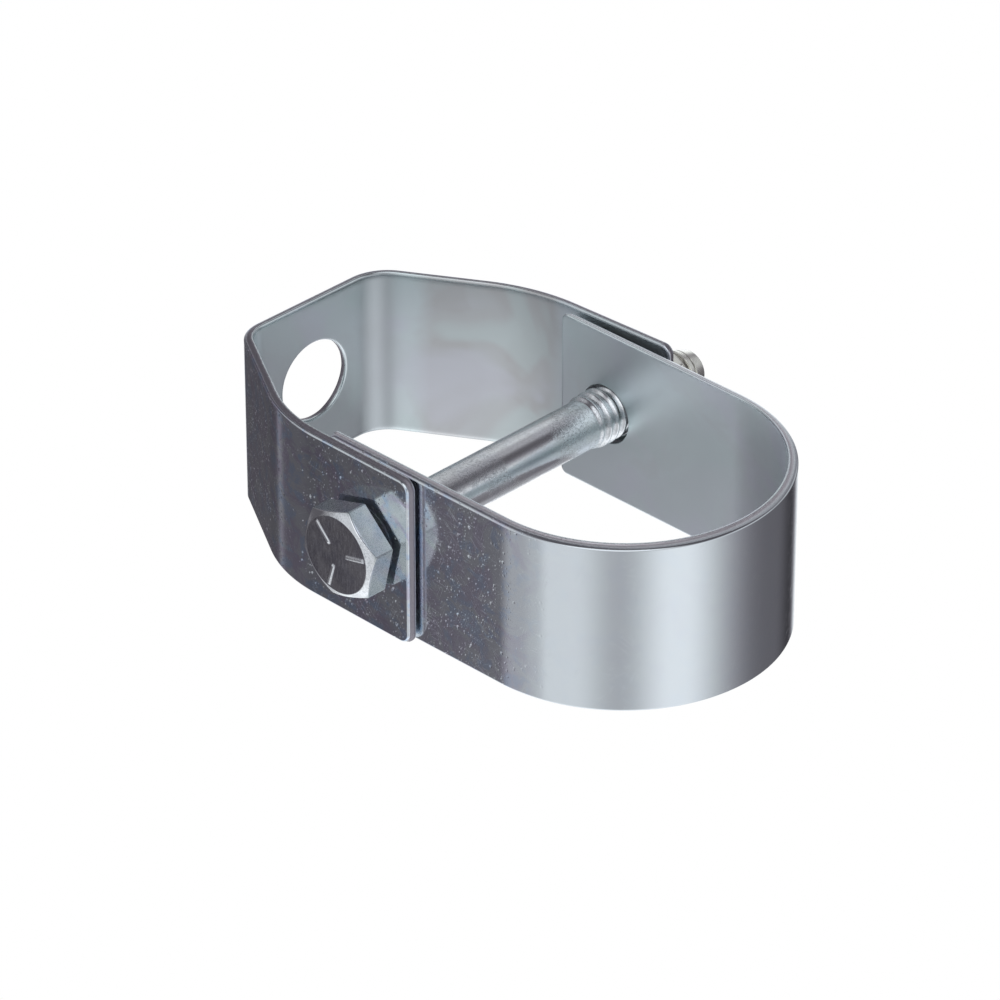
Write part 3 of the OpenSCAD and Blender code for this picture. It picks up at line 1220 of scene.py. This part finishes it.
    def _normal(self, bench: Bench, marks: SheetMarks) -> Socket:
        """Bumps the surface by long waves, grain, scratches, pits and the tear of the edges.

        Args:
            bench: The bench of the material.
            marks: Shared sockets.

        Returns:
            The normal.
        """
        waves = bench.bump(bench.noise(marks.body, self.waves), self.wave_depth)
        fine = bench.bump(bench.noise(marks.body, self.grain), self.grain_depth, below=waves)
        scored = bench.bump(marks.scratches, self.scratch_depth, below=fine, invert=True)
        pitted = bench.bump(self._pits(bench, marks), self.pits, marks.outer, scored, invert=True)
        chipped = bench.plus(marks.torn, bench.times(marks.rolled_over, 0.25), clamp=True)
        return bench.bump(marks.tear, self.tear_depth, chipped, pitted)

    def _dim(self, colour: Colour) -> Colour:
        """Returns a satin colour times the level of the satin side."""
        red, green, blue = (part * self.satin_level for part in colour[:3])
        return (red, green, blue, 1.0)

    def _pits(self, bench: Bench, marks: SheetMarks) -> Socket:
        """Draws small round pits: the hearts of random cells, in patches that a coarse noise picks.

        Each kind of pit has a number of cells to the millimetre, a largest size in cells, and a share of cells
        without one.

        Args:
            bench: The bench of the material.
            marks: Shared sockets.

        Returns:
            Depth, of 0 or more.
        """
        picked = bench.mapped(marks.strip, self.pit_places)
        total: object = 0.0
        for scale, size, rare in self.pit_kinds:
            place = {"Vector": marks.strip, "Scale": scale}
            cells = bench.add("ShaderNodeTexVoronoi", place, voronoi_dimensions="2D")
            chance = bench.add("ShaderNodeSeparateXYZ", {0: cells.outputs["Color"]}).outputs[0]
            reach = bench.ramp(chance, rare, 1.0, 0.0, size)
            dot = bench.math("SUBTRACT", reach, cells.outputs["Distance"], clamp=True)
            total = bench.plus(total, bench.math("DIVIDE", dot, scale * size))
        return bench.times(total, bench.times(picked, marks.worn))

    def _scratches(self, bench: Bench, strip: Socket) -> Socket:
        """Draws short fine scratches in a few directions.

        Each set is noise stretched about forty times along its direction, of which only the peaks are kept, in
        places that a second noise picks.

        Args:
            bench: The bench of the material.
            strip: Coordinates on the strip, in millimetres.

        Returns:
            Scratch depth between 0 and 1.
        """
        total: object = 0.0
        for number, turn in enumerate(self.scratch_turns):
            scale = (*self.scratch_scale, 1.0 + number)
            lines = bench.mapped(bench.placed(strip, scale, turn), self.scratches)
            picked = bench.mapped(bench.placed(strip, self.places_scale, turn + 1.0), self.scratch_places)
            total = bench.plus(total, bench.times(lines, picked), clamp=True)
        return total


@dataclass(frozen=True)
class ZincFastener:
    """Grainy zinc plate on a forged bolt or nut. Places along the bolt are in millimetres."""

    name: str
    silver: Colour = (0.80, 0.82, 0.84, 1.0)
    grey: Colour = (0.56, 0.58, 0.60, 1.0)
    straw: Colour = (0.84, 0.83, 0.75, 1.0)
    straw_share: float = 0.15
    straw_from: float = 29.0
    straw_fade: float = 1.5
    # Painted shade: grainy darker colour over the head's flats
    head_grain_and_shade: Colour = (0.37, 0.41, 0.415, 1.0)
    head_span: tuple[float, float] = (-29.1, -25.6)
    # Painted shade: dark colour of the head's plain face
    face: Colour = (0.36, 0.36, 0.39, 1.0)
    crystals: Noise = Noise(3.6, 4.0, 0.75)
    grainy: Noise = Noise(0.16, 2.0, 0.5, low=0.42, high=0.56)
    streaks: Noise = Noise(1.0, 3.0, 0.6, low=0.45, high=0.66, to_low=1.0, to_high=0.7)
    streak_scale: tuple[float, float, float] = (1.0, 0.5, 3.5)
    clouds: Noise = Noise(0.3, 3.0, 0.6, low=0.4, high=0.6)
    roughness: float = 0.16
    grain: float = 0.000022
    under_roughness: float = 0.7
    seed: float = 0.0

    def material(self) -> bpy.types.Material:
        """Builds the material: mottled silver, with a crystal grain in colour, roughness and bump.

        The head's grainy flats and streaked face are darkened by painted shade; the bolt's far end is
        straw-coloured.

        Returns:
            The material.
        """
        bench = Bench(self.name)
        place = bench.add("ShaderNodeTexCoord").outputs["Object"]
        body = bench.millimetres(place, (1 / MM,) * 3, self.seed)
        along = bench.add("ShaderNodeSeparateXYZ", {0: place}).outputs[0]
        crystals = bench.noise(body, self.crystals)
        face = bench.mark("rim")
        # The head's span along the bolt, which carries its grain and its painted shade
        first, last = self.head_span
        head_grain_and_shade = bench.window(along, (first - 0.2, first + 0.2), (last - 0.1, last + 0.1), MM)
        grainy = bench.math("MAXIMUM", bench.mapped(body, self.grainy), head_grain_and_shade)
        grainy = bench.times(grainy, bench.ramp(face, 0.0, 1.0, 1.0, 0.3))

        mottle = bench.times(bench.ramp(crystals, 0.46, 0.60), bench.ramp(grainy, 0.0, 1.0, 0.35, 1.0))
        streaks = bench.mapped(bench.placed(body, self.streak_scale), self.streaks)
        straw, fade = self.straw_from, self.straw_fade
        end = bench.ramp(along, (straw - fade) * MM, (straw + fade) * MM, 0.0, 0.85)
        clouds = bench.mapped(body, self.clouds)
        colour: object = self.silver
        for share, other in (
            (mottle, self.grey),
            # Painted shade over the head's flats, broken up by the crystal grain
            (bench.times(head_grain_and_shade, bench.ramp(crystals, 0.40, 0.60, 1.0, 0.45)), self.head_grain_and_shade),
            # Painted shade darkens the head's face, a little less along the streaks
            (bench.times(face, streaks), self.face),
            (bench.math("MAXIMUM", bench.times(clouds, self.straw_share), end), self.straw),
        ):
            colour = bench.blend(share, colour, other)

        rough = bench.plus(bench.ramp(crystals, 0.35, 0.65, self.roughness - 0.04, self.roughness + 0.06),
                           bench.ramp(grainy, 0.0, 1.0, -0.03, 0.10))
        under = bench.window(along, (last - 0.22, last - 0.16), (last + 0.1, last + 0.2), MM)
        rough = bench.mix(under, rough, self.under_roughness)
        normal = bench.bump(crystals, self.grain, bench.ramp(grainy, 0.0, 1.0, 0.35, 1.0))
        return bench.metal(colour, rough, normal)


# Sub-assemblies


@dataclass(frozen=True)
class Piece:
    """Where a finished piece belongs."""

    name: str
    body: Body
    node: Node
    slot: Slot

    def settle(self, thing: bpy.types.Object, material: bpy.types.Material) -> bpy.types.Object:
        """Dresses the piece, lets it ride on its body and stand for its CAD node.

        Args:
            thing: The finished object.
            material: Its finish.

        Returns:
            The same object.
        """
        thing.data.materials.append(material)
        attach(thing, self.body.value)
        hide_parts(self.node.value)
        points, faces = len(thing.data.vertices), len(thing.data.polygons)
        LOG.info("%s: %d points, %d faces, rides on %s", self.name, points, faces, self.body.value)
        return thing


@dataclass(frozen=True)
class UpperYoke:
    """The yoke that hangs from the rod: a flat top, two sloping shoulders and two legs."""

    top_width: float = 25.2
    shoulder_width: float = 49.5
    shoulder_drop: float = 20.2
    depth: float = 45.1
    head_lean: float = 0.8
    nut_lean: float = 3.0
    bends: tuple[float, float, float, float] = (22.3, 4.3, 5.6, 26.6)
    sheet: float = 1.45
    rod_bore: float = 12.0
    rod_shift: float = 0.35
    rod_edge: SheetEdge = SheetEdge(margin=0.8, outer_reach=0.12, outer_drop=0.1, inner_reach=0.45,
                                    inner_drop=0.25, torn_share=0.4, set_back=0.5)
    edge: SheetEdge = SheetEdge(margin=1.2, inner_reach=1.1, inner_drop=0.32)
    bolt_hole: float = 8.7
    hole_depth: float = 35.85
    # At 70.9 mm shade is painted into the inner hollow of the bend between the top and the shoulder on the nut's
    # side.
    # From 78 to 98 mm shade is painted on the inner side of the shoulder on the nut's side and the bend below
    # it.
    finish: ZincSheet = ZincSheet("zinc_yoke", pits=0.00003, scratched=0.35, satin_level=0.97,
                                  shaded_stretch=(78.0, 98.0), crease_shade_station=70.9, seed=3.0)

    def build(self) -> bpy.types.Object:
        """Folds the yoke along its outer line and punches its three holes.

        Returns:
            The finished piece.
        """
        drop = self.depth - self.shoulder_drop
        head, nut = math.radians(self.head_lean), math.radians(self.nut_lean)
        half_top, half_wide = self.top_width / 2, self.shoulder_width / 2
        line = np.array([
            [-half_wide - drop * math.tan(head), -self.depth], [-half_wide, -self.shoulder_drop],
            [-half_top, 0.0], [half_top, 0.0],
            [half_wide, -self.shoulder_drop], [half_wide + drop * math.tan(nut), -self.depth],
        ])
        path = FoldedPath.round_corners(line, self.bends, self.sheet)
        breaks = path.breaks()
        from_end = self.depth - self.hole_depth
        holes = (
            Hole(from_end / math.cos(head), self.bolt_hole / 2),
            Hole((breaks[4] + breaks[5]) / 2 + self.rod_shift, self.rod_bore / 2, self.rod_edge),
            Hole(breaks[-1] - from_end / math.cos(nut), self.bolt_hole / 2),
        )
        piece = Piece("upper_yoke_sheet", Body.YOKE, Node.YOKE, Slot.YOKE)
        thing = FoldedStrap(path, holes, edge=self.edge).build(piece.name)
        return piece.settle(thing, self.finish.material())


@dataclass(frozen=True)
class LowerStrap:
    """The strap that carries the pipe: a half circle between two straight ears."""

    seat_radius: float = 21.65
    ear_height: float = 32.0
    ear_top: float = -28.0
    play: float = 0.2
    sheet: float = 1.45
    bolt_hole: float = 8.7
    hole_from_top: float = 8.35
    corner: float = 1.1
    edge: SheetEdge = SheetEdge(outer_reach=0.4, outer_drop=0.85, inner_reach=0.4, inner_drop=0.2,
                                set_back=0.2)
    # satin_level 1.12 lifts the strap's inner side above the yoke's: painted light
    finish: ZincSheet = ZincSheet("zinc_strap", torn=(0.68, 0.65, 0.68, 1.0), roll_shade=0.0, tarnish=0.7,
                                  scratched=0.45, satin_level=1.12, worn_from=104.0, seed=40.0)

    def build(self) -> bpy.types.Object:
        """Folds the strap down from the ear at the nut, round the seat and up to the ear at the head.

        Returns:
            The finished piece.
        """
        middle = self.seat_radius + self.sheet / 2
        start = (middle - self.play, self.ear_top)
        path = FoldedPath(start, -math.pi / 2, (self.ear_height,) * 2, (math.pi,), (middle,))
        from_top = self.hole_from_top
        holes = tuple(Hole(place, self.bolt_hole / 2) for place in (from_top, path.breaks()[-1] - from_top))
        piece = Piece("lower_strap_sheet", Body.STRAP, Node.STRAP, Slot.STRAP)
        thing = FoldedStrap(path, holes, corner=self.corner, edge=self.edge).build(piece.name)
        return piece.settle(thing, self.finish.material())


@dataclass(frozen=True)
class Fasteners:
    """The cross bolt and its nut."""

    bolt: CrossBolt = CrossBolt()
    nut: HexNut = HexNut()
    bolt_finish: ZincFastener = ZincFastener("zinc_bolt", seed=11.0)
    nut_finish: ZincFastener = ZincFastener("zinc_nut", straw_share=0.5, seed=27.0)

    def build(self) -> tuple[bpy.types.Object, bpy.types.Object]:
        """Builds and dresses both.

        Returns:
            The bolt and the nut.
        """
        bolt = Piece("cross_bolt_turned", Body.BOLT, Node.BOLT, Slot.BOLT)
        nut = Piece("hex_nut_turned", Body.NUT, Node.NUT, Slot.NUT)
        return (bolt.settle(self.bolt.build(bolt.name), self.bolt_finish.material()),
                nut.settle(self.nut.build(nut.name), self.nut_finish.material()))


# Studio


@dataclass(frozen=True)
class PhotoCamera:
    """The photograph's camera, given about the hanger as it lies."""

    azimuth: float = -45.582
    elevation: float = 31.475
    distance: float = 0.82471
    right: float = -0.016052
    up: float = 0.005006
    lens: float = 224.153
    sensor: float = 36.0
    seat_axis: tuple[float, float, float] = (-0.0003, 0.0, -0.060)

    def build(self) -> bpy.types.Object:
        """Places the camera: out from the seat's axis along its back direction, then aside and up.

        Returns:
            The camera.
        """
        turn, tilt = math.radians(self.azimuth), math.radians(self.elevation)
        level = math.cos(turn) * TOWARDS_SEAT + math.sin(turn) * ALONG_BOLT
        back = math.cos(tilt) * level + math.sin(tilt) * UPWARDS
        right = np.cross(UPWARDS, back)
        right /= np.linalg.norm(right)
        up = np.cross(back, right)
        place = np.array(self.seat_axis) + back * self.distance + right * self.right + up * self.up
        matrix = np.eye(4)
        matrix[:3, :3] = np.stack([right, up, back], 1)
        matrix[:3, 3] = place
        data = bpy.data.cameras.new("photo_camera")
        data.lens, data.sensor_width = self.lens, self.sensor
        data.clip_start, data.clip_end = 0.01, 100.0
        camera = link("photo_camera", data)
        camera.matrix_world = Matrix(matrix.tolist())
        bpy.context.scene.camera = camera
        return camera


@dataclass(frozen=True)
class SoftPanel:
    """A soft light in the tent, in degrees, with a flat middle and edges that fall off as bells."""

    azimuth: float
    elevation: float
    level: float
    half_width: float = 0.0
    left_fall: float = 20.0
    right_fall: float = 20.0
    half_height: float = 40.0
    height_fall: float = 15.0

    def light(self, azimuth: np.ndarray, elevation: np.ndarray) -> np.ndarray:
        """Light of the panel in some directions: its level times a bell across and a bell up.

        Args:
            azimuth: Degrees from the seat towards the nut.
            elevation: Degrees above the level on which the hanger lies.

        Returns:
            Light in those directions.
        """
        aside = (azimuth - self.azimuth + 180.0) % 360.0 - 180.0
        fall = np.where(aside < 0, self.left_fall, self.right_fall)
        across = np.maximum(np.abs(aside) - self.half_width, 0.0) / fall
        upward = np.maximum(np.abs(elevation - self.elevation) - self.half_height, 0.0) / self.height_fall
        return self.level * np.exp(-0.5 * (across**2 + upward**2))


@dataclass(frozen=True)
class LightTent:
    """A round light tent about the hanger, with soft panels inside and plain white outside."""

    radius: float = 1.2
    centre: tuple[float, float, float] = (0.0, 0.0, -0.045)
    base: float = 0.035
    upper: float = 0.07
    brightest: float = 1.2
    upper_at: float = 30.0
    lines: tuple[int, int] = (361, 91)
    tint: tuple[float, float, float] = (0.97, 1.0, 1.045)
    dark_tint: tuple[float, float, float] = (1.02, 0.97, 1.10)
    tint_from: float = 0.1
    tint_span: float = 0.5
    panels: tuple[SoftPanel, ...] = (
        # What the outer face of the round reflects, from its left end to its right end
        SoftPanel(-116, -35, 0.42, 7, 6, 5, 30),
        SoftPanel(-86, -35, 0.79, 8, 7, 20, 30),
        SoftPanel(-9, -35, 0.98, 3, 21, 22.5, 30),
        SoftPanel(57, -35, 0.11, 17, 16, 12, 30),
        SoftPanel(132, -30, 0.88, 11, 7, 6.5, 22),
        # What the outer faces of the near shoulder, the bend below it and the near leg reflect
        SoftPanel(174, -30, 0.045, 8, 6, 6, 30),
        SoftPanel(-175, -30, 0.15, 1.2, 1.2, 2, 40),
        SoftPanel(-156, -35, 0.08, 9, 8, 8, 30),
        # What the rolls and the walls of the upper edges reflect
        SoftPanel(-125, 6, 0.32, 8, 6, 10, 6, 6),
        SoftPanel(-150, 38, 0.40, 16, 8, 8, 9, 7),
        SoftPanel(-92, 30, 0.30, 34, 14, 14, 11, 8),
        SoftPanel(-50, 50, 1.0, 28, 12, 12, 14, 9),
        SoftPanel(110, 54, 0.30, 20, 10, 10, 9, 8),
        SoftPanel(132, 32, 0.38, 11, 8, 7, 6, 6),
        SoftPanel(140, 3, 0.35, 12, 12, 10, 7, 7),
        # What the rolls of the lower edges reflect
        SoftPanel(180, -54, 0.45, 40, 20, 20, 5, 6),
        SoftPanel(0, -90, 0.60, 180, 20, 20, 29, 7),
        # What the bolt's shank and its thread reflect
        SoftPanel(40, 15, 0.62, 8, 12, 12, 3, 9),
        SoftPanel(84, 12, 0.45, 8, 9, 9, 5, 6),
    )

    def build(self) -> bpy.types.Object:
        """Builds the tent as a sphere whose points carry the light of their direction.

        Returns:
            The tent, a stage object that the camera doesn't see.
        """
        around, above = self.lines
        azimuth, elevation = np.meshgrid(np.linspace(-180, 180, around), np.linspace(-90, 90, above),
                                         indexing="ij")
        a, e = np.radians(azimuth), np.radians(elevation)
        level = np.cos(a)[..., None] * TOWARDS_SEAT + np.sin(a)[..., None] * ALONG_BOLT
        way = np.cos(e)[..., None] * level + np.sin(e)[..., None] * UPWARDS
        light = self.base + self.upper * np.clip(elevation / self.upper_at, 0, 1)
        light = light + sum(panel.light(azimuth, elevation) for panel in self.panels)
        index = np.arange(azimuth.size).reshape(azimuth.shape)
        cells = np.stack([index[:-1, :-1], index[:-1, 1:], index[1:, 1:], index[1:, :-1]], -1).reshape(-1, 4)
        mesh = bpy.data.meshes.new("light_tent")
        points = way.reshape(-1, 3) * self.radius + np.array(self.centre)
        mesh.from_pydata(points, [], cells)
        light = np.minimum(light, self.brightest).reshape(-1, 1)
        share = np.clip((light - self.tint_from) / self.tint_span, 0, 1)
        tint = (1 - share) * np.array([*self.dark_tint, 1.0]) + share * np.array([*self.tint, 1.0])
        colour = light * tint
        colour[:, 3] = 1.0
        lights = mesh.attributes.new("light", "FLOAT_COLOR", "POINT")
        lights.data.foreach_set("color", colour.astype(np.float32).ravel())
        tent = link("light_tent", mesh)
        tent.visible_camera = False
        mesh.materials.append(self._cloth())
        return tent

    def _cloth(self) -> bpy.types.Material:
        """Makes the cloth: the light of its points inside, plain white outside.

        Returns:
            The material.
        """
        bench = Bench("tent_cloth")
        light = bench.add("ShaderNodeAttribute", attribute_name="light").outputs["Color"]
        inside = bench.add("ShaderNodeEmission", {"Color": light, "Strength": 1.0}).outputs[0]
        outside = bench.add("ShaderNodeEmission", {"Color": (1.0, 1.0, 1.0, 1.0), "Strength": 1.0}).outputs[0]
        facing = bench.add("ShaderNodeNewGeometry").outputs["Backfacing"]
        both = bench.add("ShaderNodeMixShader", {0: facing, 1: inside, 2: outside}).outputs[0]
        return bench.finish(both)


@dataclass(frozen=True)
class PaleFloor:
    """A wide plain floor below the hanger."""

    height: float = -1.35
    reach: float = 20.0
    colour: Colour = (0.93, 0.93, 0.93, 1.0)

    def build(self) -> bpy.types.Object:
        """Builds the floor as a round disc.

        Returns:
            The floor, a stage object.
        """
        turn = np.linspace(0, 2 * math.pi, 97)[:-1]
        level = np.full(turn.size, self.height)
        points = np.stack([self.reach * np.cos(turn), self.reach * np.sin(turn), level], -1)
        mesh = bpy.data.meshes.new("pale_floor")
        mesh.from_pydata(points, [], [np.arange(turn.size)])
        bench = Bench("pale_floor")
        shader = bench.add("ShaderNodeBsdfPrincipled", {"Base Color": self.colour, "Roughness": 0.9})
        mesh.materials.append(bench.finish(shader.outputs[0]))
        floor = link("pale_floor", mesh)
        return floor


class Studio:
    """Camera, tent, floor and the white world behind them."""

    def build(self) -> None:
        """Builds the studio."""
        PhotoCamera().build()
        LightTent().build()
        PaleFloor().build()
        world = bpy.data.worlds.new("white_room")
        bpy.context.scene.world = world
        world.use_nodes = True
        background = world.node_tree.nodes["Background"]
        background.inputs["Color"].default_value = (1.0, 1.0, 1.0, 1.0)
        background.inputs["Strength"].default_value = 1.0
        bpy.context.scene.view_settings.view_transform = "Standard"


def main() -> None:
    logging.basicConfig(level=logging.INFO, format="%(message)s")
    Studio().build()
    UpperYoke().build()
    LowerStrap().build()
    Fasteners().build()


if __name__ == "__main__":
    main()
